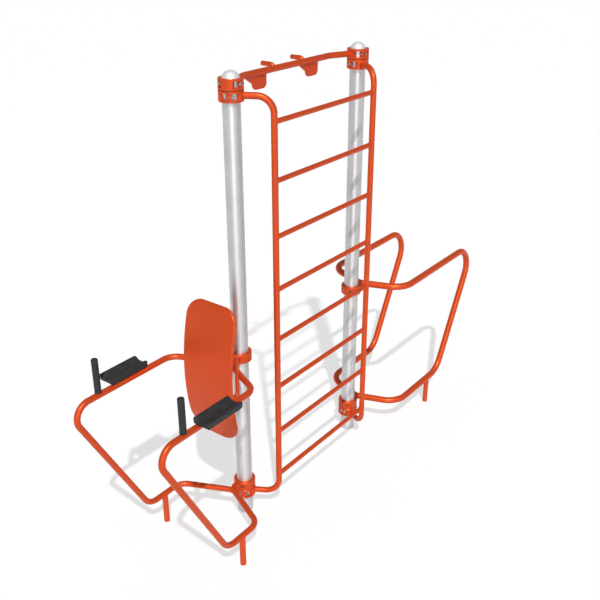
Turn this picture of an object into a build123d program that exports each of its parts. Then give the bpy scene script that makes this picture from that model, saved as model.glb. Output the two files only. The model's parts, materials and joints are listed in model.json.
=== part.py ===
from build123d import *
from math import atan2, cos, degrees, radians, sin, sqrt, tan
import os

# Outdoor fitness station: two steel posts with a climbing ladder and a pull-up bar between
# them, a knee raise stand on the left post and a dip stand on the right post.
# The origin lies on the ground, midway between the posts. X runs along the row of posts,
# +Y points to the back and +Z is up. All values are in millimetres.

# Posts and their domed caps
post_spacing = 1077.0
post_diameter = 88.9
post_wall = 3.6
post_height = 2525.5
cap_rise = 33.0
cap_wall = 4.0
cap_spigot_length = 30.0
cap_spigot_clearance = 0.4
cap_seat = 0.2

# Clamp collars round the posts, each of two bolted halves; the bolts lie in pockets that are
# open to the post on the ladder and the bar, and in round recesses on the two stands
collar_diameter = 124.0
collar_height = 54.0
collar_clearance = 0.2
collar_split_gap = 4.0
lug_thickness = 12.0
pocket_height = 34.0
pocket_start_share = 0.48
recess_diameter = 18.0
collar_edge = 2.0

# Heights of the collars above the ground; neighbours are stacked with a small gap
collar_stack_gap = 2.0
bar_height = post_height - collar_height / 2
ladder_top_height = bar_height - collar_height - collar_stack_gap
frame_top_height = 1046.0
ladder_low_height = 143.0
frame_low_height = ladder_low_height + collar_height + collar_stack_gap

# Clamp bolts and nuts
bolt_diameter = 8.0
bolt_hole_clearance = 0.5
bolt_head_width = 13.0
bolt_head_height = 5.3
bolt_end_length = 3.0
nut_height = 6.5
nut_clearance = 0.1
washer_diameter = 16.0
washer_thickness = 1.6

# Tubes
frame_tube = 33.7
frame_wall = 3.2
dip_tube = 42.4
rung_tube = 26.9
rung_wall = 2.6
weld_seat = 2.0

# Ladder
ladder_width = 873.0
ladder_offset = 176.5
ladder_bend = 83.0
rung_count = 8
top_rung_drop = 121.5
low_rung_rise = 123.6

# Pull-up bar with its hanger plates and pegs
bar_offset = 71.5
bar_straight = 728.0
bar_bend = 50.0
hanger_spacing = 440.0
hanger_shift = -24.0
hanger_width = 107.0
hanger_drop = 83.5
hanger_thickness = 8.0
hanger_corner = 27.0
hanger_shoulder = 49.0
hanger_shoulder_drop = 21.0
hanger_side = 30.0
hanger_hole = 12.0
hanger_eye_gap = 1.0
hanger_eye_share = 0.31
peg_spacing = 246.0
peg_shift = -8.0
peg_diameter = 25.0
peg_rise = 20.5
peg_length = 73.0
peg_bend = 16.0

# Tube loops of both stands, and the collar ears that carry them
loop_low_height = 194.0
apex_reach = 100.0
apex_bend = 60.0
ear_weld_depth = 14.0
ear_thickness = 16.0
ear_height = 44.0
ear_edge = 1.5

# Knee raise stand: closed tube loop in front of the left post
knee_half_width = 292.8
knee_corner_reach = 238.0
knee_foot_reach = 483.0
knee_cross_bend = 87.0
knee_front_bend = 80.0
knee_foot_bend = 100.0
knee_leg_reach = 363.5

# Hand grips on the knee raise arms, beyond the arm pads
pad_inner_reach = 415.0
pad_length = 242.0
grip_gap = 82.5
front_overhang = 198.0
grip_diameter = 36.0
grip_length = 190.0
grip_wall = 5.0
grip_clearance = 0.3
grip_end = 4.0
grip_edge = 4.0

# Arm pads on the knee raise arms
pad_width = 102.0
pad_height = 34.0
pad_offset = 34.0
pad_lip = 12.0
pad_trough_depth = 14.0
pad_trough_floor = 34.0
pad_edge = 3.0
pad_plate_thickness = 4.0
pad_plate_margin = 14.0
screw_diameter = 6.0
screw_head_diameter = 10.0
screw_head_height = 3.5
screw_length = 18.0
screw_margin = 34.0
screw_clearance = 0.2

# Backrest pan and the rods that hold it
backrest_reach = 267.0
backrest_width = 336.0
backrest_top = 1427.0
backrest_bottom = 643.0
backrest_crown_height = 1014.0
backrest_radius = 1250.0
backrest_depth = 13.0
backrest_skin = 3.0
backrest_top_corner = 132.0
backrest_low_corner = 92.0
backrest_edge = 9.0
rod_diameter = 20.0
rod_half_spacing = 148.0
rod_top = 1185.0
rod_bottom = 945.0
rod_bend = 24.0

# Dip stand: closed tube loop beside the right post
dip_half_width = 270.0
dip_corner_reach = 198.0
dip_front_reach = 1180.5
dip_foot_reach = 743.0
dip_cross_bend = 140.0
dip_front_bend = 145.0
dip_foot_bend = 145.0
dip_leg_reach = 604.0

# Overrun that lets a cutting body pass through a face
overrun = 5.0

grip_reach = pad_inner_reach + pad_length + grip_gap
knee_front_reach = grip_reach + front_overhang
top_rung_height = ladder_top_height - top_rung_drop
low_rung_height = ladder_low_height + low_rung_rise
rung_step = (top_rung_height - low_rung_height) / (rung_count - 1)
post_x = post_spacing / 2
post_radius = post_diameter / 2
collar_radius = collar_diameter / 2
collar_bore_radius = post_radius + collar_clearance
bolt_line = (collar_radius + collar_bore_radius) / 2
lug_face = collar_split_gap / 2 + lug_thickness
tube_radius = frame_tube / 2
dip_radius = dip_tube / 2
LEFT, RIGHT = -1, 1
BACK, FRONT = 1, -1


def unit(v):
    return v * (1 / v.length)


def arc_points(a, b, c, radius):
    """Start, middle and end of the arc that rounds corner b between a and c."""
    u, v = unit(a - b), unit(c - b)
    half = radians(u.get_angle(v)) / 2
    bisector = unit(u + v)
    start, end = b + u * (radius / tan(half)), b + v * (radius / tan(half))
    centre = b + bisector * (radius / sin(half))
    return start, centre - bisector * radius, end, centre


def route(points, radii, half_first=False, half_last=False):
    """Straight runs joined by tangent arcs; an end corner may be entered at its middle."""
    edges = []
    here = points[0]
    last = len(points) - 2
    for i in range(1, len(points) - 1):
        start, middle, end, centre = arc_points(points[i - 1], points[i], points[i + 1], radii[i - 1])
        radius = radii[i - 1]
        if i == 1 and half_first:
            edges.append(ThreePointArc(middle, centre + unit(middle + end - centre * 2) * radius, end))
            here = end
            continue
        edges.append(Line(here, start))
        if i == last and half_last:
            edges.append(ThreePointArc(start, centre + unit(start + middle - centre * 2) * radius, middle))
            return Wire(edges)
        edges.append(ThreePointArc(start, middle, end))
        here = end
    edges.append(Line(here, points[-1]))
    return Wire(edges)


def rod(path, radius):
    """Solid round bar along a path."""
    section = Plane(origin=path @ 0, z_dir=path % 0) * Circle(radius)
    return sweep(section, path=path)


def tube(path, radius, wall):
    return rod(path, radius) - rod(path, radius - wall)


def upright_cylinder(x, y, z0, z1, radius):
    base = (Align.CENTER, Align.CENTER, Align.MIN)
    return Pos(x, y, z0) * Cylinder(radius, z1 - z0, align=base)


def save(name, *shapes):
    solids = [s for shape in shapes for s in shape.solids()]
    export_step(solids[0] if len(solids) == 1 else Compound(children=solids), f"parts/{name}.step")


# Posts
def post(side):
    outer = upright_cylinder(side * post_x, 0, 0, post_height, post_radius)
    bore = upright_cylinder(side * post_x, 0, -overrun, post_height + overrun, post_radius - post_wall)
    return outer - bore


def post_cap(side):
    """Domed cap with a spigot that fits inside the post."""
    seat = post_height + cap_seat
    dome_radius = (post_radius**2 + cap_rise**2) / (2 * cap_rise)
    centre = Pos(side * post_x, 0, seat + cap_rise - dome_radius)
    dome = centre * Sphere(dome_radius)
    dome &= upright_cylinder(side * post_x, 0, seat, seat + post_diameter, post_diameter)
    spigot_radius = post_radius - post_wall - cap_spigot_clearance
    spigot = upright_cylinder(side * post_x, 0, seat - cap_spigot_length, seat, spigot_radius)
    bore_radius = spigot_radius - cap_wall
    bore = upright_cylinder(side * post_x, 0, seat - cap_spigot_length - overrun, seat, bore_radius)
    hollow = centre * Sphere(dome_radius - cap_wall)
    hollow &= upright_cylinder(side * post_x, 0, seat - overrun, seat + cap_rise, bore_radius)
    return dome + spigot - bore - hollow


# Collars, drawn round the origin with one half on the +X side
def collar_ring():
    ring = Cylinder(collar_radius, collar_height)
    ring = chamfer(ring.edges().filter_by(GeomType.CIRCLE), collar_edge)
    return ring - Cylinder(collar_bore_radius, collar_height + overrun)


def collar_pockets():
    """Bolt pockets at both ends of a half, open to the outside and to the post."""
    start = collar_radius * pocket_start_share
    pocket = Pos(lug_face, start, 0) * Box(
        collar_diameter, collar_diameter, pocket_height, align=(Align.MIN, Align.MIN, Align.CENTER)
    )
    return [pocket, mirror(pocket, Plane.XZ)]


def bolt_recesses():
    """Round recesses for the bolt heads and nuts, from the lug faces outwards."""
    recess = Rot(0, 90, 0) * Cylinder(
        recess_diameter / 2, collar_diameter, align=(Align.CENTER, Align.CENTER, Align.MIN)
    )
    return [Pos(lug_face, side * bolt_line, 0) * recess for side in (-1, 1)]


def bolt_holes():
    hole_radius = (bolt_diameter + bolt_hole_clearance) / 2
    hole = Rot(0, 90, 0) * Cylinder(hole_radius, collar_diameter)
    return [Pos(0, side * bolt_line, 0) * hole for side in (-1, 1)]


def plain_half():
    length, width = collar_radius + overrun, collar_diameter + overrun
    keep = Pos(collar_split_gap / 2, 0, 0) * Box(
        length, width, collar_height + overrun, align=(Align.MIN, Align.CENTER, Align.CENTER)
    )
    return collar_ring() & keep


def pocket_half():
    half = plain_half()
    for cut in collar_pockets() + bolt_holes():
        half -= cut
    return half


def collar_place(side, height, angle):
    return Pos(side * post_x, 0, height) * Rot(0, 0, angle)


def hexagon(width, height):
    return extrude(RegularPolygon(width / 2, 6, major_radius=False), height)


def clamp_bolt():
    """Bolt with its washer under the head, on the loose half's side."""
    shank_length = lug_face * 2 + washer_thickness * 2 + nut_height + bolt_end_length
    shank = Cylinder(bolt_diameter / 2, shank_length, align=(Align.CENTER, Align.CENTER, Align.MIN))
    washer = Cylinder(washer_diameter / 2, washer_thickness, align=(Align.CENTER, Align.CENTER, Align.MAX))
    head = mirror(hexagon(bolt_head_width, bolt_head_height), Plane.XY)
    bolt = Pos(0, 0, -washer_thickness) * (head + shank) + washer
    return Pos(-lug_face, 0, 0) * Rot(0, 90, 0) * bolt


def clamp_nut():
    washer = Cylinder(washer_diameter / 2, washer_thickness, align=(Align.CENTER, Align.CENTER, Align.MIN))
    nut = washer + Pos(0, 0, washer_thickness) * hexagon(bolt_head_width, nut_height)
    nut -= Cylinder(bolt_diameter / 2 + nut_clearance, collar_diameter)
    return Pos(lug_face, 0, 0) * Rot(0, 90, 0) * nut


# Ladder
def ladder_angle(side):
    """Direction from a post to its ladder upright, in degrees."""
    return degrees(atan2(-ladder_offset, side * (ladder_width / 2 - post_x)))


def ladder_upright_path(side):
    x = side * ladder_width / 2
    corner_top = Vector(x, -ladder_offset, ladder_top_height)
    corner_low = Vector(x, -ladder_offset, ladder_low_height)
    start = Vector(side * post_x, 0, ladder_top_height)
    end = Vector(side * post_x, 0, ladder_low_height)
    inner = unit(corner_top - start) * collar_bore_radius
    return route([start + inner, corner_top, corner_low, end + inner], [ladder_bend, ladder_bend])


def post_keepout(side):
    return upright_cylinder(side * post_x, 0, 0, post_height, collar_radius)


def ladder_upright(side):
    return tube(ladder_upright_path(side), tube_radius, frame_wall) - post_keepout(side)


def rung_z(index):
    return top_rung_height - index * rung_step


def ladder_rung(index):
    """Rung whose ends are coped to the uprights."""
    ends = [Vector(side * ladder_width / 2, -ladder_offset, rung_z(index)) for side in (LEFT, RIGHT)]
    path = Wire([Line(*ends)])
    rung = tube(path, rung_tube / 2, rung_wall)
    for end in ends:
        rung -= upright_cylinder(end.X, end.Y, end.Z - frame_tube, end.Z + frame_tube, tube_radius)
    return rung


# Pull-up bar
def bar_angle(side):
    return degrees(atan2(bar_offset, side * (bar_straight / 2 - post_x)))


def bar_path():
    points = []
    for side in (LEFT, RIGHT):
        corner = Vector(side * bar_straight / 2, bar_offset, bar_height)
        foot = Vector(side * post_x, 0, bar_height)
        points.append([foot + unit(corner - foot) * collar_bore_radius, corner])
    left, right = points
    return route([left[0], left[1], right[1], right[0]], [bar_bend, bar_bend])


def pull_up_bar():
    return tube(bar_path(), tube_radius, frame_wall) - post_keepout(LEFT) - post_keepout(RIGHT)


def hanger_plate(side):
    """Plate under the middle of the bar, with a shoulder and an eye on its left."""
    right = hanger_width / 2
    bottom = -hanger_drop
    shoulder_x = -right - hanger_shoulder
    outline = Polyline(
        (right, 0),
        (right, bottom),
        (-right, bottom),
        (-right, bottom + hanger_side),
        (shoulder_x, -hanger_shoulder_drop),
        (shoulder_x, 0),
        close=True,
    )
    face = make_face(outline)
    low = face.vertices().sort_by(Axis.Y)[:2]
    face = fillet(low, hanger_corner)
    eye_x = -right - hanger_shoulder * hanger_eye_share
    eye_z = -(tube_radius + hanger_eye_gap + hanger_hole / 2)
    face -= Pos(eye_x, eye_z) * Circle(hanger_hole / 2)
    plate = Rot(90, 0, 0) * extrude(face, hanger_thickness)
    x = side * hanger_spacing / 2 + hanger_shift
    back = bar_offset + hanger_thickness / 2
    return Pos(x, back, bar_height) * plate - rod(bar_path(), tube_radius)


def bar_peg(side):
    """Short bent peg that stands on the bar and points to the back."""
    x = side * peg_spacing / 2 + peg_shift
    level = bar_height + peg_rise
    foot = Vector(x, bar_offset, bar_height)
    corner = Vector(x, bar_offset, level)
    tip = Vector(x, bar_offset + peg_length, level)
    return rod(route([foot, corner, tip], [peg_bend]), peg_diameter / 2) - rod(bar_path(), tube_radius)


# Knee raise stand and dip stand
def loop_points(side, way, sizes):
    """Corners of one half of a stand's tube loop; way tells back from front."""
    half_width, corner_reach, front_reach, foot_reach = sizes
    reaches = (apex_reach, corner_reach, front_reach, foot_reach, corner_reach, apex_reach)
    x = [side * (post_x + reach) for reach in reaches]
    y = [0] + [way * half_width] * 4 + [0]
    z = [frame_top_height] * 3 + [loop_low_height] * 3
    points = [Vector(*p) for p in zip(x, y, z)]
    before, after = points[1], points[-2]
    mirrored = [Vector(before.X, -before.Y, before.Z), Vector(after.X, -after.Y, after.Z)]
    return [mirrored[0], *points, mirrored[1]]


def knee_path(way):
    sizes = (knee_half_width, knee_corner_reach, knee_front_reach, knee_foot_reach)
    points = loop_points(LEFT, way, sizes)
    radii = [apex_bend, knee_cross_bend, knee_front_bend, knee_foot_bend, knee_cross_bend, apex_bend]
    return route(points, radii, half_first=True, half_last=True)


def dip_path(way):
    sizes = (dip_half_width, dip_corner_reach, dip_front_reach, dip_foot_reach)
    points = loop_points(RIGHT, way, sizes)
    radii = [apex_bend, dip_cross_bend, dip_front_bend, dip_foot_bend, dip_cross_bend, apex_bend]
    return route(points, radii, half_first=True, half_last=True)


def knee_arm_y(way):
    return way * knee_half_width


def grip_place(way):
    return -(post_x + grip_reach), knee_arm_y(way)


def grip_pin(way):
    x, y = grip_place(way)
    radius = grip_diameter / 2 - grip_wall - grip_clearance
    top = frame_top_height + tube_radius + grip_length - grip_end
    return upright_cylinder(x, y, frame_top_height, top, radius)


def knee_frame(way):
    """Bent tube with the welded pin that carries the hand grip."""
    path = knee_path(way)
    pin = grip_pin(way) - rod(path, tube_radius - frame_wall)
    return tube(path, tube_radius, frame_wall) + pin


def hand_grip(way):
    x, y = grip_place(way)
    seat = frame_top_height + tube_radius + grip_clearance
    sleeve = upright_cylinder(x, y, seat, seat + grip_length, grip_diameter / 2)
    sleeve = fillet(sleeve.edges().filter_by(GeomType.CIRCLE), grip_edge)
    bore_radius = grip_diameter / 2 - grip_wall
    top = frame_top_height + tube_radius + grip_length - grip_end + grip_clearance
    return sleeve - upright_cylinder(x, y, seat - overrun, top, bore_radius)


def dip_frame(way):
    return tube(dip_path(way), dip_radius, frame_wall)


def leg(x, y, loop):
    """Upright leg from the ground, coped to the loop above it."""
    outer = upright_cylinder(x, y, 0, loop_low_height, tube_radius)
    bore = upright_cylinder(x, y, -overrun, loop_low_height, tube_radius - frame_wall)
    return outer - bore - loop


def knee_leg(way):
    return leg(-(post_x + knee_leg_reach), way * knee_half_width, rod(knee_path(way), tube_radius))


def dip_leg(way):
    return leg(post_x + dip_leg_reach, way * dip_half_width, rod(dip_path(way), dip_radius))


def frame_collar(path, radius, side, way, height):
    """Half collar with the ear that carries the back or the front half of a tube loop."""
    place = collar_place(side, height, way * 90)
    ear_reach = apex_reach - radius + ear_weld_depth
    ear = chamfer(Box(ear_reach, ear_thickness, ear_height).edges(), ear_edge)
    ear_middle = collar_split_gap / 2 + ear_thickness / 2
    half = place * plain_half() + Pos(side * (post_x + ear_reach / 2), way * ear_middle, height) * ear
    half -= place * Cylinder(collar_bore_radius, collar_height)
    for cut in bolt_recesses() + bolt_holes():
        half -= place * cut
    return half - rod(path, radius)


# Arm pads
def pad_place(way):
    x = -(post_x + pad_inner_reach)
    return x, way * (knee_half_width + pad_offset), frame_top_height + tube_radius


def pad_plate(way):
    x, y, z = pad_place(way)
    length, width = pad_length - pad_plate_margin, pad_width - pad_plate_margin
    plate = Pos(x - pad_length / 2, y, z) * Box(
        length, width, pad_plate_thickness, align=(Align.CENTER, Align.CENTER, Align.MIN)
    )
    for hole in pad_screw_axes(way):
        plate -= hole * Cylinder(screw_diameter / 2 + screw_clearance, screw_length * 2)
    return plate


def pad_screw_axes(way):
    x, y, z = pad_place(way)
    offset = pad_offset / 2
    return [Pos(x - place, y + way * offset, z) for place in (screw_margin, pad_length - screw_margin)]


def arm_pad(way):
    """Rubber pad with a raised lip on both long sides."""
    x, y, z = pad_place(way)
    half = pad_width / 2
    floor = pad_trough_floor / 2
    outline = Polyline(
        (-half, 0),
        (half, 0),
        (half, pad_height),
        (half - pad_lip, pad_height),
        (floor, pad_height - pad_trough_depth),
        (-floor, pad_height - pad_trough_depth),
        (-half + pad_lip, pad_height),
        (-half, pad_height),
        close=True,
    )
    face = make_face(outline)
    lips = [v for v in face.vertices() if v.Y > pad_height - pad_edge]
    face = fillet(lips, pad_edge)
    body = extrude(Plane.YZ * face, pad_length)
    pad = Pos(x - pad_length, y, z + pad_plate_thickness) * body
    for hole in pad_screw_axes(way):
        pad -= hole * Cylinder(screw_diameter / 2 + screw_clearance, screw_length * 2 + screw_clearance * 2)
    return pad


def pad_screws():
    screws = []
    for way in (BACK, FRONT):
        for axis in pad_screw_axes(way):
            shank = Cylinder(screw_diameter / 2, screw_length, align=(Align.CENTER, Align.CENTER, Align.MIN))
            head = Cylinder(
                screw_head_diameter / 2, screw_head_height, align=(Align.CENTER, Align.CENTER, Align.MAX)
            )
            screws.append(axis * (shank + head))
    return screws


# Backrest
def backrest_centre():
    return backrest_radius - post_x - backrest_reach


def backrest_drum(radius):
    """Lying cylinder whose left side is a face of the curved backrest."""
    drum = Rot(90, 0, 0) * Cylinder(radius, backrest_width * 2)
    return Pos(backrest_centre(), 0, backrest_crown_height) * drum


def backrest_slab(inset, back):
    """Rounded panel between two concentric curved faces, inset from its outline and front."""
    height = backrest_top - backrest_bottom - inset * 2
    middle = (backrest_top + backrest_bottom) / 2
    face = Rectangle(backrest_width - inset * 2, height)
    top = face.vertices().sort_by(Axis.Y)[2:]
    face = fillet(top, backrest_top_corner - inset)
    low = [v for v in face.vertices() if v.Y < -height / 2 + overrun]
    face = fillet(low, backrest_low_corner - inset)
    prism = extrude(Plane(origin=(0, 0, middle), x_dir=(0, 1, 0), z_dir=(-1, 0, 0)) * face, post_spacing)
    slab = prism & backrest_drum(backrest_radius - inset) - backrest_drum(backrest_radius - back)
    rim = [e for e in slab.edges() if front_edge(e, backrest_radius - inset)]
    return fillet(rim, backrest_edge - inset)


def backrest():
    """Curved pan with a rounded rim, hollow at the back."""
    return backrest_slab(0, backrest_depth) - backrest_slab(backrest_skin, backrest_depth + overrun)


def front_edge(edge, radius):
    """True for an edge whose middle lies on the curved face of that radius."""
    point = edge.center(CenterOf.GEOMETRY)
    reach = sqrt((point.X - backrest_centre()) ** 2 + (point.Z - backrest_crown_height) ** 2)
    return reach > radius - backrest_skin


def backrest_rod(way):
    """Bent rod between the back of the pan and the loop's cross tube."""
    apex, corner = Vector(-(post_x + apex_reach), 0), Vector(-(post_x + knee_corner_reach), knee_half_width)
    along = unit(corner - apex)
    cross_x = apex.X + (corner.X - apex.X) * rod_half_spacing / knee_half_width
    x = cross_x - (tube_radius + rod_diameter / 2 - weld_seat) / along.Y
    y = way * rod_half_spacing
    front = backrest_centre() - backrest_radius
    corners = ((front, rod_top), (x, rod_top), (x, rod_bottom), (front, rod_bottom))
    points = [Vector(place, y, level) for place, level in corners]
    bar = rod(route(points, [rod_bend, rod_bend]), rod_diameter / 2)
    bar &= backrest_drum(backrest_radius - backrest_skin)
    return bar - rod(knee_path(way), tube_radius)


def main():
    os.makedirs("parts", exist_ok=True)
    sides = {"left": LEFT, "right": RIGHT}
    ways = {"back": BACK, "front": FRONT}
    half = pocket_half()
    places = []

    for name, side in sides.items():
        save(f"post_{name}", post(side))
        save(f"post_cap_{name}", post_cap(side))
        save(f"hanger_plate_{name}", hanger_plate(side))
        save(f"bar_peg_{name}", bar_peg(side))
        save(f"ladder_upright_{name}", ladder_upright(side))
        for joint, height, angle in (
            ("bar", bar_height, bar_angle(side)),
            ("ladder_top", ladder_top_height, ladder_angle(side)),
            ("ladder_low", ladder_low_height, ladder_angle(side)),
        ):
            place = collar_place(side, height, angle)
            places.append(place)
            save(f"{joint}_collar_{name}", place * half)
            save(f"{joint}_clamp_{name}", place * Rot(0, 0, 180) * half)

    stands = (("knee", LEFT, knee_path, tube_radius), ("dip", RIGHT, dip_path, dip_radius))
    for stand, side, path, radius in stands:
        for joint, height in (("top", frame_top_height), ("low", frame_low_height)):
            places.append(collar_place(side, height, 90))
            for name, way in ways.items():
                save(f"{stand}_{joint}_collar_{name}", frame_collar(path(way), radius, side, way, height))

    bolts = [place * Pos(0, end * bolt_line, 0) * clamp_bolt() for place in places for end in (-1, 1)]
    nuts = [place * Pos(0, end * bolt_line, 0) * clamp_nut() for place in places for end in (-1, 1)]
    save("clamp_bolts", *bolts)
    save("clamp_nuts", *nuts)

    save("pull_up_bar", pull_up_bar())
    for index in range(rung_count):
        save(f"ladder_rung_{index + 1}", ladder_rung(index))

    for name, way in ways.items():
        save(f"knee_frame_{name}", knee_frame(way))
        save(f"knee_leg_{name}", knee_leg(way))
        save(f"dip_frame_{name}", dip_frame(way))
        save(f"dip_leg_{name}", dip_leg(way))
        save(f"hand_grip_{name}", hand_grip(way))
        save(f"arm_pad_{name}", arm_pad(way))
        save(f"arm_pad_plate_{name}", pad_plate(way))
        save(f"backrest_rod_{name}", backrest_rod(way))
    save("arm_pad_screws", *pad_screws())
    save("backrest", backrest())


main()
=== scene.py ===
import json
from math import atan2, ceil, cos, pi, radians, sin, sqrt, tan

import bmesh
import bpy
from mathutils import Matrix, Vector


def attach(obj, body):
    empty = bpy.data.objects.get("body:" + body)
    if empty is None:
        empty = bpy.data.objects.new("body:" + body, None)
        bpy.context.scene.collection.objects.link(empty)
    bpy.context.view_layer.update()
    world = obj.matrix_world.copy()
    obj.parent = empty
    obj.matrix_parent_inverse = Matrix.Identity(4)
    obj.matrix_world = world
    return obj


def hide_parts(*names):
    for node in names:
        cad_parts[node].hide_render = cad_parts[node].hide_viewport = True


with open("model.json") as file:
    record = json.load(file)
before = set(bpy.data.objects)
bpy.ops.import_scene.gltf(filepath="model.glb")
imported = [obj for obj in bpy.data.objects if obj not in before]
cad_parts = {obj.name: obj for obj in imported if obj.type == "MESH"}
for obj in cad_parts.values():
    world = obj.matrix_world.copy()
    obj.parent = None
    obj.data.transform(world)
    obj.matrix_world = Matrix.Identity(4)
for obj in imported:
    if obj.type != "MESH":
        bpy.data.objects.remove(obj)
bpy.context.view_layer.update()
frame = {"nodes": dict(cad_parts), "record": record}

# An outdoor fitness station: steel posts with orange powder coated frames. All lengths are in
# metres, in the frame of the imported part: the origin is on the ground midway between the posts,
# X runs along the row and Z is up.

# Camera of the photograph
CAMERA_PLACE = (-3.4871, -2.6321, 3.2645)
CAMERA_YAW = -52.9506
CAMERA_PITCH = 25.6391
LENS = 49.86
SENSOR = 36.0
CLIP_END = 500.0

# Light, floor and backdrop
SUN_TRAVEL = (0.585, 0.545, -1.0)
SUN_STRENGTH = 2.9
SUN_SIZE = 1.2
FILL_TRAVEL = (0.76, 0.62, -0.16)
FILL_STRENGTH = 0.62
FILL_SIZE = 26.0
SKY_STRENGTH = 0.31
FLOOR_GLOW = 0.612
FLOOR_COLOUR = (0.37, 0.37, 0.37, 1.0)
WHITE_LIGHT = (1.0, 1.0, 1.0, 1.0)
BLACK = (0.0, 0.0, 0.0, 1.0)
FLOOR_REACH = 90.0
BACKDROP_RADIUS = 60.0

# Main places of the part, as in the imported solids
POST_X = 0.5385
POST_RADIUS = 0.04445
COLLAR_RADIUS = 0.062
COLLAR_CLEARANCE = 0.0002
COLLAR_BORE = POST_RADIUS + COLLAR_CLEARANCE
COLLAR_STEP = 0.056
TUBE_RADIUS = 0.01685
DIP_RADIUS = 0.0212
RUNG_RADIUS = 0.01345
ROD_RADIUS = 0.010
BAR_HEIGHT = 2.4985
LADDER_TOP = BAR_HEIGHT - COLLAR_STEP
FRAME_TOP = 1.046
LADDER_LOW = 0.143
FRAME_LOW = LADDER_LOW + COLLAR_STEP
LOOP_LOW = 0.194
LADDER_HALF = 0.4365
LADDER_OFFSET = 0.1765
TOP_RUNG_DROP = 0.1215
LOW_RUNG_RISE = 0.1236
RUNG_TOP = LADDER_TOP - TOP_RUNG_DROP
RUNG_LOW = LADDER_LOW + LOW_RUNG_RISE
RUNG_COUNT = 8
RUNG_STEP = (RUNG_TOP - RUNG_LOW) / (RUNG_COUNT - 1)
BAR_OFFSET = 0.0715
BAR_HALF = 0.364
PEG_PLACES = (-0.131, 0.115)
PEG_RADIUS = 0.0125
PEG_RISE = 0.0205
PEG_BEND = 0.016
HANGER_PLACES = (-0.244, 0.196)
HANGER_RIGHT = 0.0535
HANGER_SHOULDER = 0.049
HANGER_LEFT = HANGER_RIGHT + HANGER_SHOULDER
HANGER_HALF_THICKNESS = 0.004

# Stands: reach from the post and place across of the loops' corners and of the legs
APEX_REACH = 0.100
APEX_BEND = 0.060
KNEE_HALF_WIDTH = 0.2928
DIP_HALF_WIDTH = 0.270
KNEE_CORNER = (0.238, KNEE_HALF_WIDTH)
DIP_CORNER = (0.198, DIP_HALF_WIDTH)
KNEE_LEG_REACH = 0.3635
DIP_LEG_REACH = 0.604
EAR_WELD_DEPTH = 0.014
EAR_FACE = 0.018
EAR_HALF_HEIGHT = 0.022
SPLIT_HALF = 0.002
RECESS_CLEAR = 0.0085

# Backrest rods
ROD_HALF_SPACING = 0.148
ROD_ENDS = (1.185, 0.945)
ROD_SINK = 0.002
PAN_CENTRE = (0.4445, 1.014)
PAN_BACK_RADIUS = 1.247

# Hand grips and arm pads
PAD_START = -0.9535
PAD_LENGTH = 0.242
GRIP_GAP = 0.0825
GRIP_X = PAD_START - PAD_LENGTH - GRIP_GAP
GRIP_SEAT = 0.0003
GRIP_LENGTH = 0.190
GRIP_RADIUS = 0.0180
GRIP_BODY_RADIUS = 0.0173
GRIP_GROOVE = 0.0005
GRIP_GROOVES = 26
GRIP_FLANGE = 0.007
GRIP_EASE = 0.0015
GRIP_FOOT_EASE = 0.0006
GRIP_FIRST_GROOVE = 0.0012
GRIP_ROUND = 0.005
GRIP_DIMPLE = 0.006
GRIP_DIMPLE_DEPTH = 0.0006
GRIP_SIDES = 48
GRIP_STEPS_A_GROOVE = 8
GRIP_GROOVE_SHARPNESS = 3
PAD_OFFSET = 0.034
PAD_Y = KNEE_HALF_WIDTH + PAD_OFFSET
PAD_HALF_WIDTH = 0.051
PAD_HEIGHT = 0.034
PAD_PLATE = 0.004
PAD_LIP_ROUND = 0.0065
PAD_END_ROUND = 0.0060
PAD_TROUGH = 0.014
PAD_TROUGH_FLOOR = 0.009
PAD_TROUGH_RIM = 0.041
PAD_TAPER = 0.0030
PAD_SEAM_HEIGHT = 0.0085
PAD_SEAM_DEPTH = 0.0011
PAD_FOOT_ROUND = 0.003

# Clamp bolts
LUG_FACE = 0.014
BOLT_LINE = (COLLAR_RADIUS + COLLAR_BORE) / 2
BOLT_RADIUS = 0.004
HEX_WIDTH = 0.013
HEX_CROWN_SHARE = 0.95
HEX_CROWN = HEX_WIDTH / 2 * HEX_CROWN_SHARE
HEX_CHAMFER = 30.0
HEX_STEPS = 48
HEAD_DISH_SHARES = (0.86, 0.78)
HEAD_HEIGHT = 0.0053
NUT_BODY = 0.0050
NUT_HEIGHT = 0.0065
NUT_LIP_RADIUS = 0.0057
NUT_LIP_INNER = 0.0048
NUT_LIP_EASE = 0.0005
NYLON_RADIUS = 0.0050
NYLON_INNER = 0.0042
NYLON_SINK = 0.0004
NYLON_DEPTH = 0.0010
WASHER_RADIUS = 0.008
WASHER_THICKNESS = 0.0016
WASHER_SIDES = 36
BOLT_END = 0.003
THREAD_PITCH = 0.00125
THREAD_DEPTH = 0.0004
THREAD_START = 0.008
THREAD_SIDES = 20
THREAD_STEPS_A_TURN = 5
TIP_SLOPE = 0.6
SHANK_SIDES = 24
SMALL_EDGE = 0.0003

# Weld beads: radius by the size of the joint, and their ripples
BEAD = 0.0024
RUNG_BEAD = BEAD * 0.85
SMALL_BEAD = BEAD * 0.8
ROD_BEAD = BEAD * 0.9
CROSS_BEAD = BEAD * 0.7
BEAD_PITCH = 0.0034
BEAD_RIPPLE = 0.16
BEAD_END_SHARE = 0.35
BEAD_STEP = 0.0008
BEAD_SIDES = 10
LINE_LEAST_STEPS = 2

# Angle in degrees from which an edge stays sharp, and rise from which a line counts as upright
SHARP_ANGLE = 38.0
UPRIGHT_RISE = 0.99
ROUND_SIDES = 32

X_AXIS = Vector((1, 0, 0))
Y_AXIS = Vector((0, 1, 0))
Z_AXIS = Vector((0, 0, 1))
SIDES = (-1, 1)


# Node helpers
def new_material(name):
    material = bpy.data.materials.new(name)
    material.use_nodes = True
    tree = material.node_tree
    shader = tree.nodes["Principled BSDF"]
    return material, tree, shader


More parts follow.
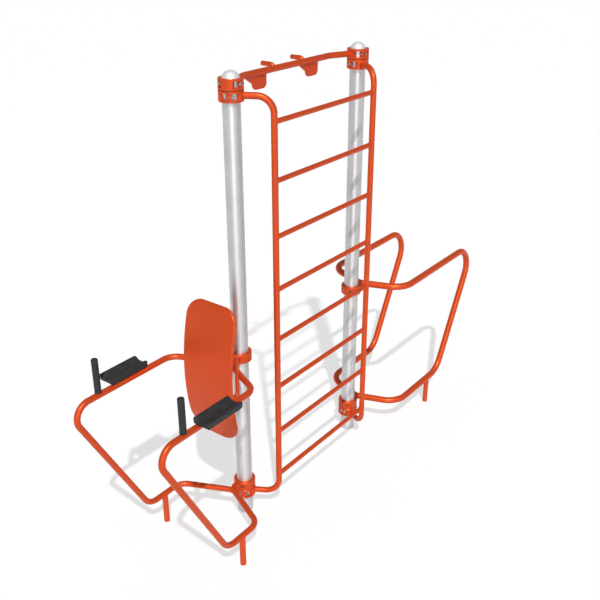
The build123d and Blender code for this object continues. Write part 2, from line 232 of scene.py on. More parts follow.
def add(tree, kind, **values):
    node = tree.nodes.new(kind)
    for key, value in values.items():
        setattr(node, key, value)
    return node


def set_sockets(node, values):
    """Sets constants on a node's own sockets."""
    for name, value in values.items():
        node.inputs[name].default_value = value


def place_coordinates(tree, scale=(1, 1, 1)):
    """Coordinates in the part's frame, stretched by scale."""
    coordinates = add(tree, "ShaderNodeTexCoord")
    mapping = add(tree, "ShaderNodeMapping")
    set_sockets(mapping, {"Scale": scale})
    tree.links.new(coordinates.outputs["Object"], mapping.inputs["Vector"])
    return mapping.outputs["Vector"]


def noise(tree, vector, scale, detail=2.0, roughness=0.5):
    node = add(tree, "ShaderNodeTexNoise")
    set_sockets(node, {"Scale": scale, "Detail": detail, "Roughness": roughness})
    tree.links.new(vector, node.inputs["Vector"])
    return node.outputs["Fac"]


def remap(tree, value, low, high, start, end):
    """Value that goes from low to high while the given one goes from start to end."""
    node = add(tree, "ShaderNodeMapRange")
    set_sockets(node, {"From Min": start, "From Max": end, "To Min": low, "To Max": high})
    tree.links.new(value, node.inputs["Value"])
    return node.outputs["Result"]


def mix_colours(tree, factor, first, second):
    """Colour between two given colours or sockets."""
    node = add(tree, "ShaderNodeMix", data_type="RGBA")
    factor_input, first_input, second_input, colour_output = 0, 6, 7, 2
    for index, colour in ((first_input, first), (second_input, second)):
        if isinstance(colour, tuple):
            node.inputs[index].default_value = (*colour, 1.0)
        else:
            tree.links.new(colour, node.inputs[index])
    tree.links.new(factor, node.inputs[factor_input])
    return node.outputs[colour_output]


def bump(tree, height, distance, strength, under=None):
    node = add(tree, "ShaderNodeBump")
    set_sockets(node, {"Distance": distance, "Strength": strength})
    tree.links.new(height, node.inputs["Height"])
    if under is not None:
        tree.links.new(under, node.inputs["Normal"])
    return node.outputs["Normal"]


# Materials
def powder_coat(name, colour, deep, rough=(0.36, 0.44)):
    """Satin powder coat: orange peel, soft cloudy colour change and duller handled patches."""
    material, tree, shader = new_material(name)
    place = place_coordinates(tree)
    clouds = noise(tree, place, scale=3.0, detail=3.0)
    cloudy = mix_colours(tree, remap(tree, clouds, low=0.2, high=0.8, start=0.3, end=0.7), colour, deep)
    speck = noise(tree, place, scale=900.0, detail=1.0)
    specks = remap(tree, speck, low=0.0, high=0.35, start=0.62, end=0.78)
    tree.links.new(mix_colours(tree, specks, cloudy, deep), shader.inputs["Base Color"])
    patches = noise(tree, place, scale=16.0, detail=3.0, roughness=0.6)
    dull = remap(tree, patches, low=rough[0], high=rough[1], start=0.35, end=0.65)
    tree.links.new(dull, shader.inputs["Roughness"])
    peel = noise(tree, place, scale=420.0, detail=2.0, roughness=0.45)
    soft = bump(tree, peel, distance=0.00022, strength=0.55)
    fine = noise(tree, place, scale=1900.0, detail=1.0)
    skin = bump(tree, fine, distance=0.00004, strength=0.5, under=soft)
    tree.links.new(skin, shader.inputs["Normal"])
    set_sockets(shader, {"Metallic": 0.50, "Specular IOR Level": 0.2})
    set_sockets(shader, {"Coat Weight": 0.04, "Coat Roughness": 0.25})
    return material


def ground_steel(name, colour, dark):
    """Post steel, ground round its girth: fine rings, faint cloudy stains and a long upright gleam."""
    material, tree, shader = new_material(name)
    place = place_coordinates(tree)
    flat_rings, tall_stains = (3.0, 3.0, 900.0), (38.0, 38.0, 3.0)
    rings = noise(tree, place_coordinates(tree, flat_rings), scale=1.0, detail=3.0, roughness=0.65)
    blotches = noise(tree, place, scale=5.0, detail=4.0, roughness=0.6)
    stains = noise(tree, place_coordinates(tree, tall_stains), scale=1.0, detail=3.0, roughness=0.55)
    layers = (
        remap(tree, blotches, low=0.0, high=0.45, start=0.3, end=0.7),
        remap(tree, rings, low=0.0, high=0.3, start=0.35, end=0.75),
        remap(tree, stains, low=0.0, high=0.2, start=0.55, end=0.8),
    )
    base = colour
    for layer in layers:
        base = mix_colours(tree, layer, base, dark)
    tree.links.new(base, shader.inputs["Base Color"])
    dull = remap(tree, blotches, low=0.44, high=0.54, start=0.3, end=0.7)
    tree.links.new(dull, shader.inputs["Roughness"])
    tree.links.new(bump(tree, rings, distance=0.00004, strength=0.3), shader.inputs["Normal"])
    tangent = add(tree, "ShaderNodeTangent", direction_type="RADIAL", axis="Z")
    tree.links.new(tangent.outputs["Tangent"], shader.inputs["Tangent"])
    set_sockets(shader, {"Anisotropic": 0.6, "Anisotropic Rotation": 0.25, "Metallic": 0.86})
    return material


def bolt_metal(name, colour, dark):
    """Stainless fastener steel with a fine rolled grain."""
    material, tree, shader = new_material(name)
    place = place_coordinates(tree)
    grain = noise(tree, place, scale=1400.0, detail=3.0, roughness=0.6)
    spots = noise(tree, place, scale=140.0, detail=3.0, roughness=0.6)
    spotted = mix_colours(tree, remap(tree, spots, low=0.0, high=0.8, start=0.35, end=0.7), colour, dark)
    tree.links.new(spotted, shader.inputs["Base Color"])
    dull = remap(tree, grain, low=0.26, high=0.42, start=0.3, end=0.7)
    tree.links.new(dull, shader.inputs["Roughness"])
    tree.links.new(bump(tree, grain, distance=0.00003, strength=0.4), shader.inputs["Normal"])
    set_sockets(shader, {"Metallic": 1.0})
    return material


def moulded_rubber(name, colour, pale):
    """Dark rubber with a fine moulded grain and a faint bloom."""
    material, tree, shader = new_material(name)
    place = place_coordinates(tree)
    bloom = noise(tree, place, scale=28.0, detail=4.0, roughness=0.6)
    base = mix_colours(tree, remap(tree, bloom, low=0.0, high=1.0, start=0.35, end=0.7), colour, pale)
    tree.links.new(base, shader.inputs["Base Color"])
    cells = add(tree, "ShaderNodeTexVoronoi", feature="SMOOTH_F1")
    set_sockets(cells, {"Scale": 650.0})
    tree.links.new(place, cells.inputs["Vector"])
    grain = bump(tree, cells.outputs["Distance"], distance=0.00035, strength=0.5)
    fine = noise(tree, place, scale=2600.0, detail=2.0)
    skin = bump(tree, fine, distance=0.00005, strength=0.5, under=grain)
    tree.links.new(skin, shader.inputs["Normal"])
    dull = remap(tree, bloom, low=0.52, high=0.66, start=0.3, end=0.7)
    tree.links.new(dull, shader.inputs["Roughness"])
    set_sockets(shader, {"Specular IOR Level": 0.35})
    return material


def gloss_cap(name, colour):
    """Glossy white moulded plastic with a very faint mottling."""
    material, tree, shader = new_material(name)
    place = place_coordinates(tree)
    mottle = noise(tree, place, scale=60.0, detail=3.0)
    duller_share = 0.95
    duller = tuple(c * duller_share for c in colour)
    tree.links.new(mix_colours(tree, mottle, colour, duller), shader.inputs["Base Color"])
    dull = remap(tree, mottle, low=0.38, high=0.46, start=0.3, end=0.7)
    tree.links.new(dull, shader.inputs["Roughness"])
    ripple = noise(tree, place, scale=240.0, detail=1.0)
    tree.links.new(bump(tree, ripple, distance=0.00005, strength=0.25), shader.inputs["Normal"])
    set_sockets(shader, {"Metallic": 0.55, "Coat Weight": 0.15, "Coat Roughness": 0.08})
    return material


ORANGE = powder_coat("orange_powder_coat", colour=(0.71, 0.086, 0.019), deep=(0.64, 0.075, 0.016))
WELD = powder_coat(
    "orange_weld_coat", colour=(0.74, 0.086, 0.019), deep=(0.62, 0.070, 0.015), rough=(0.32, 0.42)
)
STEEL = ground_steel("post_ground_steel", colour=(0.69, 0.70, 0.715), dark=(0.57, 0.575, 0.59))
BOLT_STEEL = bolt_metal("bolt_steel", colour=(0.46, 0.46, 0.47), dark=(0.24, 0.24, 0.25))
WHITE = gloss_cap("white_gloss_cap", colour=(0.90, 0.91, 0.92))
NYLON = gloss_cap("nylon_ring", colour=(0.50, 0.50, 0.48))
RUBBER = moulded_rubber("black_moulded_rubber", colour=(0.016, 0.016, 0.018), pale=(0.028, 0.028, 0.030))
PLATE = powder_coat("black_plate_coat", colour=(0.03, 0.03, 0.032), deep=(0.02, 0.02, 0.022))

SLOT_MATERIALS = {
    "orange_paint": ORANGE,
    "post_steel": STEEL,
    "white_cap": WHITE,
    "black_rubber": RUBBER,
    "fastener_steel": BOLT_STEEL,
    "plate_paint": PLATE,
}


def dress_nodes():
    """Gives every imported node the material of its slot."""
    slots = {s["node"]: s["material_slot"] for s in frame["record"]["subparts"]}
    for name, node in frame["nodes"].items():
        for slot in node.material_slots:
            slot.material = SLOT_MATERIALS[slots[name]]


# Mesh helpers
def mesh_object(name, mesh_data, material):
    bmesh.ops.recalc_face_normals(mesh_data, faces=mesh_data.faces)
    mesh = bpy.data.meshes.new(name)
    mesh_data.to_mesh(mesh)
    mesh_data.free()
    mesh.materials.append(material)
    for face in mesh.polygons:
        face.use_smooth = True
    mesh.set_sharp_from_angle(angle=radians(SHARP_ANGLE))
    piece = bpy.data.objects.new(name, mesh)
    bpy.context.scene.collection.objects.link(piece)
    return piece


def ride(piece):
    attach(piece, "root")
    return piece


def ring_strip(mesh, rings, close_long=False, caps=False):
    """Quads between successive rings of vertices; every ring is closed."""
    count = len(rings)
    last = count if close_long else count - 1
    for i in range(last):
        a, b = rings[i], rings[(i + 1) % count]
        size = len(a)
        for j in range(size):
            mesh.faces.new((a[j], a[(j + 1) % size], b[(j + 1) % size], b[j]))
    if caps:
        mesh.faces.new(list(reversed(rings[0])))
        mesh.faces.new(rings[-1])


def turned(mesh, matrix, profile, sides=ROUND_SIDES):
    """Solid round the local Z axis, of (radius, height) steps that may be functions of the angle."""
    rings = []
    for radius, height in profile:
        ring = []
        for j in range(sides):
            angle = 2 * pi * j / sides
            r = radius(angle) if callable(radius) else radius
            z = height(angle) if callable(height) else height
            ring.append(mesh.verts.new(matrix @ Vector((r * cos(angle), r * sin(angle), z))))
        rings.append(ring)
    ring_strip(mesh, rings, caps=True)


# Weld beads
def bead_rings(mesh, points, radius, waves, closed):
    """Rings along a bead, whose radius sinks and springs back once in each wave."""
    count = len(points)
    rings = []
    for i, point in enumerate(points):
        before = points[i - 1] if closed or i else point
        after = points[(i + 1) % count] if closed or i < count - 1 else point
        along = (after - before).normalized()
        upright = abs(along.z) > UPRIGHT_RISE
        side = along.cross(X_AXIS).normalized() if upright else along.cross(Z_AXIS).normalized()
        up = side.cross(along)
        phase = i / count * waves
        swell = radius * (1 - BEAD_RIPPLE * (phase % 1.0))
        if not closed and i in (0, count - 1):
            swell *= BEAD_END_SHARE
        ring = []
        for j in range(BEAD_SIDES):
            angle = 2 * pi * j / BEAD_SIDES
            ring.append(mesh.verts.new(point + (side * cos(angle) + up * sin(angle)) * swell))
        rings.append(ring)
    ring_strip(mesh, rings, close_long=closed, caps=not closed)


def closed_bead(mesh, points, radius=BEAD):
    """Weld bead along a closed line of points, with the ripples of the welding passes."""
    count = len(points)
    length = sum((points[i] - points[i - 1]).length for i in range(count))
    bead_rings(mesh, points, radius, round(length / BEAD_PITCH), True)


def open_bead(mesh, points, radius):
    """Weld bead along an open line of points, with thin ends."""
    length = sum((points[i] - points[i - 1]).length for i in range(1, len(points)))
    bead_rings(mesh, points, radius, length / BEAD_PITCH, False)


def joined_line(*corners):
    """Evenly stepped points along straight lines between corners."""
    points = [corners[0]]
    for start, end in zip(corners, corners[1:]):
        count = max(LINE_LEAST_STEPS, ceil((end - start).length / BEAD_STEP))
        points += [start.lerp(end, i / count) for i in range(1, count + 1)]
    return points


def saddle(centre, main_axis, main_radius, branch, branch_radius):
    """Closed line where a branch tube meets a main tube at right angles."""
    across = branch.cross(main_axis).normalized()
    count = ceil(2 * pi * branch_radius / BEAD_STEP)
    points = []
    for i in range(count):
        angle = 2 * pi * i / count
        sideways = branch_radius * sin(angle)
        reach = sqrt(max(main_radius**2 - sideways**2, 0.0))
        along = branch_radius * cos(angle)
        points.append(centre + main_axis * along + across * sideways + branch * reach)
    return points


def ladder_direction(side):
    return Vector((side * (LADDER_HALF - POST_X), -LADDER_OFFSET, 0)).normalized()


def bar_direction(side):
    return Vector((side * (BAR_HALF - POST_X), BAR_OFFSET, 0)).normalized()


def ladder_welds():
    """Beads at the rungs' ends, and where the uprights meet their collars."""
    mesh = bmesh.new()
    for side in SIDES:
        for index in range(RUNG_COUNT):
            centre = Vector((side * LADDER_HALF, -LADDER_OFFSET, RUNG_TOP - index * RUNG_STEP))
            closed_bead(mesh, saddle(centre, Z_AXIS, TUBE_RADIUS, X_AXIS * -side, RUNG_RADIUS), RUNG_BEAD)
        for height in (LADDER_TOP, LADDER_LOW):
            centre = Vector((side * POST_X, 0, height))
            closed_bead(mesh, saddle(centre, Z_AXIS, COLLAR_RADIUS, ladder_direction(side), TUBE_RADIUS))
    ride(mesh_object("ladder_welds", mesh, WELD))


def peg_point(run):
    """Point of a peg's middle line, back and up from the bar's axis, and its direction."""
    rise = PEG_RISE - PEG_BEND
    if run < rise:
        return Vector((0, run)), Vector((0, 1))
    angle = min((run - rise) / PEG_BEND, pi / 2)
    beyond = max(run - rise - PEG_BEND * pi / 2, 0.0)
    point = Vector((PEG_BEND * (1 - cos(angle)) + beyond, rise + PEG_BEND * sin(angle)))
    return point, Vector((sin(angle), cos(angle)))


def peg_foot_line(x):
    """Closed line where a bent peg leaves the bar, found by halving along the peg."""
    points = []
    count, halvings = 72, 24
    for i in range(count):
        angle = 2 * pi * i / count
        low, high = 0.0, PEG_RISE + 2 * PEG_BEND
        for _ in range(halvings):
            run = (low + high) / 2
            middle, along = peg_point(run)
            spot = middle + Vector((along.y, -along.x)) * PEG_RADIUS * cos(angle)
            if spot.length < TUBE_RADIUS:
                low = run
            else:
                high = run
        points.append(Vector((x + PEG_RADIUS * sin(angle), BAR_OFFSET + spot.x, BAR_HEIGHT + spot.y)))
    return points


def bar_welds():
    """Beads of the pull-up bar at its collars, its pegs and its hanger plates."""
    mesh = bmesh.new()
    for side in SIDES:
        centre = Vector((side * POST_X, 0, BAR_HEIGHT))
        closed_bead(mesh, saddle(centre, Z_AXIS, COLLAR_RADIUS, bar_direction(side), TUBE_RADIUS))
    for x in PEG_PLACES:
        closed_bead(mesh, peg_foot_line(x), SMALL_BEAD)
    drop = sqrt(TUBE_RADIUS**2 - HANGER_HALF_THICKNESS**2)
    for middle in HANGER_PLACES:
        left, right = middle - HANGER_LEFT, middle + HANGER_RIGHT
        front, back = BAR_OFFSET - HANGER_HALF_THICKNESS, BAR_OFFSET + HANGER_HALF_THICKNESS
        places = ((left, front), (right, front), (right, back), (left, back), (left, front))
        corners = [Vector((x, y, BAR_HEIGHT - drop)) for x, y in places]
        closed_bead(mesh, joined_line(*corners)[:-1], SMALL_BEAD)
    ride(mesh_object("bar_welds", mesh, WELD))


def leg_welds():
    """Beads where the legs meet the loops of both stands."""
    mesh = bmesh.new()
    knee = (-1, KNEE_LEG_REACH, KNEE_HALF_WIDTH, TUBE_RADIUS)
    dip = (1, DIP_LEG_REACH, DIP_HALF_WIDTH, DIP_RADIUS)
    for side, reach, half_width, radius in (knee, dip):
        for way in SIDES:
            centre = Vector((side * (POST_X + reach), way * half_width, LOOP_LOW))
            closed_bead(mesh, saddle(centre, X_AXIS, radius, -Z_AXIS, TUBE_RADIUS))
    ride(mesh_object("leg_welds", mesh, WELD))


def apex_line(corner, y):
    """Reach of a loop's middle line beside its apex, and the slope of the tube there."""
    half = atan2(corner[1], corner[0] - APEX_REACH)
    middle = APEX_REACH + APEX_BEND * (1 / sin(half) - 1)
    return middle + APEX_BEND - sqrt(APEX_BEND**2 - y**2), sqrt(APEX_BEND**2 - y**2) / APEX_BEND


def ear_tube_line(corner, radius, tube_drop):
    """Line where an ear's end meets the inner side of the loop, round its free edges."""
    points = []
    steps = 24
    ear_reach = APEX_REACH - radius + EAR_WELD_DEPTH
    for y in (SPLIT_HALF, EAR_FACE):
        reach, slope = apex_line(corner, y)
        limit = sqrt(radius**2 - ((reach - ear_reach) * slope) ** 2)
        top = -tube_drop + limit
        bottom = max(-tube_drop - limit, -EAR_HALF_HEIGHT)
        heights = [top]
        if y != SPLIT_HALF:
            heights += [top + (bottom - top) * i / steps for i in range(1, steps + 1)]
        for z in heights:
            inner = sqrt(max(radius**2 - (z + tube_drop) ** 2, 0.0)) / slope
            points.append(Vector((min(reach - inner, ear_reach), y, z)))
        last = bottom
    reach, slope = apex_line(corner, SPLIT_HALF)
    inner = sqrt(max(radius**2 - (last + tube_drop) ** 2, 0.0)) / slope
    points.append(Vector((min(reach - inner, ear_reach), SPLIT_HALF, last)))
    return points


def ear_ring_line(way_up):
    """Line where an ear leaves the ring of its collar, above or below the bolt recess."""
    edge = EAR_HALF_HEIGHT * way_up
    near = Vector((sqrt(COLLAR_RADIUS**2 - SPLIT_HALF**2), SPLIT_HALF, edge))
    corner = Vector((sqrt(COLLAR_RADIUS**2 - EAR_FACE**2), EAR_FACE, edge))
    return [near, corner, Vector((corner.x, EAR_FACE, RECESS_CLEAR * way_up))]


def stand_welds():
    """Beads at both ends of the ears that carry the stands."""
    mesh = bmesh.new()
    for side, corner, radius in ((-1, KNEE_CORNER, TUBE_RADIUS), (1, DIP_CORNER, DIP_RADIUS)):
        for height, drop in ((FRAME_TOP, 0.0), (FRAME_LOW, FRAME_LOW - LOOP_LOW)):
            lines = (ear_tube_line(corner, radius, drop), ear_ring_line(1), ear_ring_line(-1))
            for way in SIDES:
                for line in lines:
                    placed = [Vector((side * (POST_X + p.x), way * p.y, height + p.z)) for p in line]
                    open_bead(mesh, joined_line(*placed), SMALL_BEAD)
    ride(mesh_object("stand_welds", mesh, WELD))


def rod_cross_line():
    """Closed line round the spot where a rod lies against the cross tube: along, up and out."""
    gap = TUBE_RADIUS + ROD_RADIUS - ROD_SINK
    half = sqrt(ROD_RADIUS**2 - (gap - TUBE_RADIUS) ** 2)
    points = []
    steps = 40
    for i in range(steps):
        angle = 2 * pi * i / steps
        along = half * cos(angle)
        out = gap - sqrt(ROD_RADIUS**2 - along**2)
        rise = sqrt(max(TUBE_RADIUS**2 - out**2, 0.0))
        points.append((along, rise if sin(angle) >= 0 else -rise, out))
    return points


def backrest_welds():
    """Beads where the rods meet the back of the pan and the cross tube."""
    mesh = bmesh.new()
    steps = 60
    run = Vector((KNEE_CORNER[0] - APEX_REACH, KNEE_HALF_WIDTH, 0))
    share = ROD_HALF_SPACING / KNEE_HALF_WIDTH
    for way in SIDES:
        for height in ROD_ENDS:
            points = []
            for i in range(steps):
                angle = 2 * pi * i / steps
                z = height + ROD_RADIUS * sin(angle)
                x = PAN_CENTRE[0] - sqrt(PAN_BACK_RADIUS**2 - (z - PAN_CENTRE[1]) ** 2)
                points.append(Vector((x, way * ROD_HALF_SPACING + ROD_RADIUS * cos(angle), z)))
            closed_bead(mesh, points, ROD_BEAD)
        along = Vector((-run.x, way * run.y, 0)).normalized()
        out = Vector((-abs(along.y), -way * abs(along.x), 0))
        middle = Vector((-(POST_X + APEX_REACH + run.x * share), way * ROD_HALF_SPACING, FRAME_TOP))
        cross = [middle + along * a + Z_AXIS * u + out * o for a, u, o in rod_cross_line()]
        closed_bead(mesh, cross, CROSS_BEAD)
    ride(mesh_object("backrest_welds", mesh, WELD))


# Fasteners
def collar_bolt_frames():
    """Frame of each clamp bolt: its Z axis runs from the head to the nut."""
    frames = []
    for side in SIDES:
        ladder = ladder_direction(side)
        bar = bar_direction(side)
        for height, way in (
            (BAR_HEIGHT, bar),
            (LADDER_TOP, ladder),
            (LADDER_LOW, ladder),
            (FRAME_TOP, Y_AXIS),
            (FRAME_LOW, Y_AXIS),
        ):
            place = Matrix.Translation((side * POST_X, 0, height))
            place @= Matrix.Rotation(atan2(way.y, way.x), 4, "Z")
            for end in SIDES:
                offset = Matrix.Translation((0, end * BOLT_LINE, 0))
                frames.append(place @ offset @ Matrix.Rotation(pi / 2, 4, "Y"))
    return frames


def hex_radius(angle):
    """Distance from the axis to the side of a hexagon."""
    turned_by = (angle + pi / 6) % (pi / 3) - pi / 6
    return HEX_WIDTH / 2 / cos(turned_by)


def hex_profile(base, top, both_ends=False):
    """Hexagon whose corners are cut by a cone at its top, or at both ends."""
    ease = tan(radians(HEX_CHAMFER))
    profile = [(HEX_CROWN, base)]
    if both_ends:
        profile.append((hex_radius, lambda a: base + (hex_radius(a) - HEX_CROWN) * ease))
    else:
        profile += [(HEX_CROWN, base + SMALL_EDGE), (hex_radius, base + SMALL_EDGE)]
    profile.append((hex_radius, lambda a: top - (hex_radius(a) - HEX_CROWN) * ease))
    profile.append((HEX_CROWN, top))
    return profile


def washer(mesh, matrix, start):
    end = start + WASHER_THICKNESS
    edge = WASHER_RADIUS - SMALL_EDGE
    profile = [(edge, start), (WASHER_RADIUS, start + SMALL_EDGE)]
    profile += [(WASHER_RADIUS, end - SMALL_EDGE), (edge, end)]
    turned(mesh, matrix, profile, WASHER_SIDES)


def threaded_shank(mesh, matrix, start, end):
    """Rod with a helical thread and a rounded tip."""
    steps = ceil((end - start) / (THREAD_PITCH / THREAD_STEPS_A_TURN))
    rings = []
    for i in range(steps + 1):
        z = start + (end - start) * i / steps
        ring = []
        for j in range(THREAD_SIDES):
            angle = 2 * pi * j / THREAD_SIDES
            phase = (z / THREAD_PITCH - j / THREAD_SIDES) % 1.0
            radius = BOLT_RADIUS - THREAD_DEPTH * abs(2 * phase - 1)
            radius = min(radius, BOLT_RADIUS - THREAD_DEPTH + max(end - z, 0.0) * TIP_SLOPE)
            ring.append(mesh.verts.new(matrix @ Vector((radius * cos(angle), radius * sin(angle), z))))
        rings.append(ring)
    ring_strip(mesh, rings, caps=True)


def clamp_bolts():
    """Hex bolts with washers, in place of the plain ones."""
    mesh = bmesh.new()
    under_head = LUG_FACE + WASHER_THICKNESS
    tip = under_head + NUT_HEIGHT + BOLT_END
    for place in collar_bolt_frames():
        flip = place @ Matrix.Rotation(pi, 4, "X")
        washer(mesh, flip, LUG_FACE)
        dish = under_head + HEAD_HEIGHT
        head = hex_profile(under_head, dish)
        rim, floor = [HEX_CROWN * share for share in HEAD_DISH_SHARES]
        head += [(rim, dish), (floor, dish - SMALL_EDGE)]
        turned(mesh, flip, head, HEX_STEPS)
        turned(mesh, place, [(BOLT_RADIUS, -under_head), (BOLT_RADIUS, THREAD_START)], SHANK_SIDES)
        threaded_shank(mesh, place, THREAD_START, tip)
    piece = ride(mesh_object("hex_bolts", mesh, BOLT_STEEL))
    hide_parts("clamp_bolts")


def clamp_nuts():
    """Lock nuts with washers and nylon rings, in place of the plain ones."""
    steel, nylon = bmesh.new(), bmesh.new()
    seat = LUG_FACE + WASHER_THICKNESS
    rim = seat + NUT_HEIGHT
    for place in collar_bolt_frames():
        washer(steel, place, LUG_FACE)
        body = hex_profile(seat, seat + NUT_BODY, both_ends=True)
        body += [(NUT_LIP_RADIUS, seat + NUT_BODY), (NUT_LIP_RADIUS, rim - NUT_LIP_EASE)]
        body += [(NUT_LIP_RADIUS - NUT_LIP_EASE, rim), (NUT_LIP_INNER, rim)]
        body.append((NUT_LIP_INNER, rim - NUT_LIP_EASE))
        turned(steel, place, body, HEX_STEPS)
        insert = [(NYLON_RADIUS, rim - NYLON_DEPTH), (NYLON_RADIUS, rim - NYLON_SINK)]
        insert += [(NUT_LIP_INNER, rim - NYLON_SINK / 2), (NYLON_INNER, rim - NYLON_SINK)]
        turned(nylon, place, insert)
    nuts = ride(mesh_object("lock_nuts", steel, BOLT_STEEL))
    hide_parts("clamp_nuts")
    ride(mesh_object("lock_nut_rings", nylon, NYLON))


# Rubber parts
def hand_grip(name, way):
    """Moulded sleeve with a foot flange, fine grooves and a rounded closed top."""
    mesh = bmesh.new()
    base = FRAME_TOP + TUBE_RADIUS + GRIP_SEAT
    top = base + GRIP_LENGTH
    profile = [(GRIP_RADIUS - GRIP_EASE, base), (GRIP_RADIUS, base + GRIP_EASE)]
    profile.append((GRIP_RADIUS, base + GRIP_FLANGE - GRIP_EASE))
    profile.append((GRIP_RADIUS - GRIP_FOOT_EASE, base + GRIP_FLANGE))
    round_start = top - GRIP_ROUND
    steps = GRIP_GROOVES * GRIP_STEPS_A_GROOVE
    first = base + GRIP_FLANGE + GRIP_FIRST_GROOVE
    for i in range(steps + 1):
        share = i / steps
        wave = (0.5 - 0.5 * cos(2 * pi * share * GRIP_GROOVES)) ** GRIP_GROOVE_SHARPNESS
        profile.append((GRIP_BODY_RADIUS - GRIP_GROOVE * wave, first + (round_start - first) * share))
    turns = 10
    for i in range(1, turns + 1):
        angle = pi / 2 * i / turns
        radius = GRIP_BODY_RADIUS - GRIP_ROUND * (1 - cos(angle))
        profile.append((radius, round_start + GRIP_ROUND * sin(angle)))
    profile += [(GRIP_DIMPLE, top), (GRIP_DIMPLE - GRIP_DIMPLE_DEPTH, top - GRIP_DIMPLE_DEPTH)]
    place = Matrix.Translation((GRIP_X, way * KNEE_HALF_WIDTH, 0))
    turned(mesh, place, profile, GRIP_SIDES)
    piece = ride(mesh_object(f"moulded_grip_{name}", mesh, RUBBER))
    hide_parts(f"hand_grip_{name}")


def pad_top(y):
    """Height of the pad's top beside its middle line: a smooth trough between two lips."""
    share = (abs(y) - PAD_TROUGH_FLOOR) / (PAD_TROUGH_RIM - PAD_TROUGH_FLOOR)
    share = min(max(share, 0.0), 1.0)
    return PAD_HEIGHT - PAD_TROUGH * (0.5 + 0.5 * cos(pi * share))


def pad_section():
    """Half outline of the pad, from its bottom middle round to the middle of the trough."""
    floor_shares = (0.0, 0.3, 0.6, 0.85)
    foot_steps, side_steps, lip_steps, top_steps = 5, 24, 10, 26
    foot = PAD_HALF_WIDTH - PAD_TAPER
    points = [(foot * share, 0.0) for share in floor_shares]
    for i in range(foot_steps + 1):
        angle = pi / 2 * i / foot_steps
        points.append((foot - PAD_FOOT_ROUND * (1 - sin(angle)), PAD_FOOT_ROUND * (1 - cos(angle))))
    lean = PAD_TAPER / (PAD_HEIGHT - PAD_LIP_ROUND)
    start, end = PAD_FOOT_ROUND, PAD_HEIGHT - PAD_LIP_ROUND
    for i in range(1, side_steps):
        z = start + (end - start) * i / side_steps
        groove = max(0.0, 1 - abs(z - PAD_SEAM_HEIGHT) / PAD_SEAM_DEPTH)
        points.append((foot + lean * z - PAD_SEAM_DEPTH * groove, z))
    for i in range(lip_steps + 1):
        angle = pi / 2 * i / lip_steps
        y = PAD_HALF_WIDTH - PAD_LIP_ROUND * (1 - cos(angle))
        points.append((y, PAD_HEIGHT - PAD_LIP_ROUND * (1 - sin(angle))))
    rim = PAD_HALF_WIDTH - PAD_LIP_ROUND
    for i in range(1, top_steps + 1):
        y = rim * (1 - i / top_steps)
        points.append((y, pad_top(y)))
    return points


def inset_outline(outline, depth):
    """Outline moved inwards by depth along its own normals."""
    count = len(outline)
    moved = []
    for i, point in enumerate(outline):
        before, after = outline[i - 1], outline[(i + 1) % count]
        along = Vector((after[0] - before[0], after[1] - before[1])).normalized()
        moved.append((point[0] - along.y * depth, point[1] + along.x * depth))
    return moved


def arm_pad(name, way):
    """Moulded pad: trough between rounded lips, leaning sides, a parting groove and rounded ends."""
    mesh = bmesh.new()
    half = pad_section()
    outline = half + [(-y, z) for y, z in reversed(half[1:-1])]
    end_steps, body_steps = 8, 24
    ends = []
    for i in range(end_steps + 1):
        angle = pi / 2 * i / end_steps
        ends.append((PAD_END_ROUND * (1 - sin(angle)), PAD_END_ROUND * (1 - cos(angle))))
    straight = PAD_LENGTH - 2 * PAD_END_ROUND
    body = [(0.0, PAD_END_ROUND + straight * i / body_steps) for i in range(1, body_steps)]
    places = ends + body + [(inset, PAD_LENGTH - run) for inset, run in reversed(ends)]
    base = FRAME_TOP + TUBE_RADIUS + PAD_PLATE
    rings = []
    for inset, run in places:
        ring = []
        for y, z in inset_outline(outline, inset):
            spot = Vector((PAD_START - run, way * PAD_Y + y, base + max(z, 0.0)))
            ring.append(mesh.verts.new(spot))
        rings.append(ring)
    ring_strip(mesh, rings, caps=True)
    piece = ride(mesh_object(f"moulded_pad_{name}", mesh, RUBBER))
    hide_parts(f"arm_pad_{name}")


# Camera, floor and light
def camera_axes():
    """Directions of the camera's right, top and back."""
    yaw, pitch = radians(CAMERA_YAW), radians(CAMERA_PITCH)
    back = Vector((sin(yaw) * cos(pitch), -cos(yaw) * cos(pitch), sin(pitch)))
    right = (-back).cross(Z_AXIS).normalized()
    return right, right.cross(-back), back


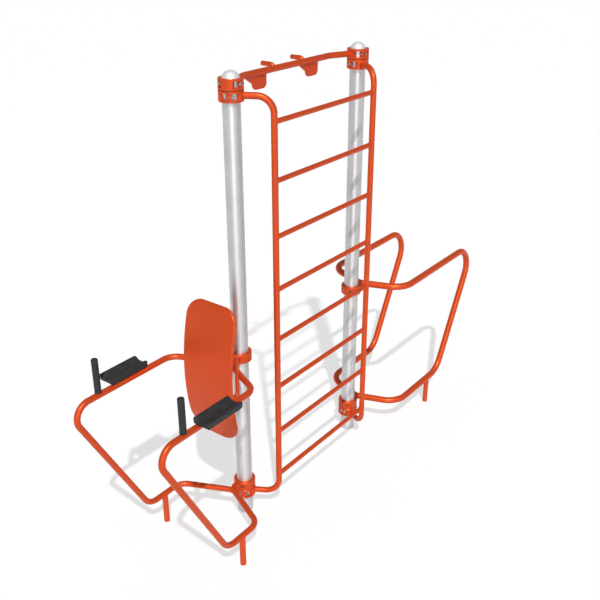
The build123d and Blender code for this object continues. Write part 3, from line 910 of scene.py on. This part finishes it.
def make_camera():
    data = bpy.data.cameras.new("photo_camera")
    data.sensor_fit = "HORIZONTAL"
    data.sensor_width = SENSOR
    data.lens = LENS
    data.clip_end = CLIP_END
    camera = bpy.data.objects.new("photo_camera", data)
    bpy.context.scene.collection.objects.link(camera)
    right, up, back = camera_axes()
    turn = Matrix((right, up, back)).transposed().to_4x4()
    camera.matrix_world = Matrix.Translation(CAMERA_PLACE) @ turn
    bpy.context.scene.camera = camera


def make_floor():
    mesh = bmesh.new()
    bmesh.ops.create_grid(mesh, x_segments=1, y_segments=1, size=FLOOR_REACH)
    material, _, shader = new_material("pale_floor")
    set_sockets(shader, {"Base Color": FLOOR_COLOUR, "Roughness": 0.6, "Specular IOR Level": 0.2})
    set_sockets(shader, {"Emission Color": WHITE_LIGHT, "Emission Strength": FLOOR_GLOW})
    floor = mesh_object("pale_floor", mesh, material)
    floor.visible_diffuse = False


def make_backdrop():
    """White dome behind everything, which neither lights nor shades the object."""
    mesh = bmesh.new()
    bmesh.ops.create_uvsphere(mesh, u_segments=48, v_segments=24, radius=BACKDROP_RADIUS)
    material, _, shader = new_material("white_backdrop")
    set_sockets(shader, {"Base Color": BLACK, "Emission Color": WHITE_LIGHT, "Emission Strength": 1.0})
    backdrop = mesh_object("white_backdrop", mesh, material)
    backdrop.visible_diffuse = False
    backdrop.visible_glossy = False
    backdrop.visible_shadow = False


def far_light(name, travel, strength, size):
    data = bpy.data.lights.new(name, "SUN")
    data.energy = strength
    data.angle = radians(size)
    light = bpy.data.objects.new(name, data)
    bpy.context.scene.collection.objects.link(light)
    light.rotation_euler = Vector(travel).to_track_quat("-Z", "Y").to_euler()
    return data


def make_light():
    world = bpy.data.worlds.new("studio")
    world.use_nodes = True
    background = world.node_tree.nodes["Background"]
    set_sockets(background, {"Color": WHITE_LIGHT, "Strength": SKY_STRENGTH})
    bpy.context.scene.world = world
    far_light("key_light", SUN_TRAVEL, SUN_STRENGTH, SUN_SIZE)
    far_light("soft_fill", FILL_TRAVEL, FILL_STRENGTH, FILL_SIZE).use_shadow = False


bpy.context.scene.view_settings.view_transform = "Standard"
make_camera()
make_floor()
make_backdrop()
make_light()
dress_nodes()
ladder_welds()
bar_welds()
leg_welds()
stand_welds()
backrest_welds()
clamp_bolts()
clamp_nuts()
for way_name, way_sign in (("back", 1), ("front", -1)):
    hand_grip(way_name, way_sign)
    arm_pad(way_name, way_sign)
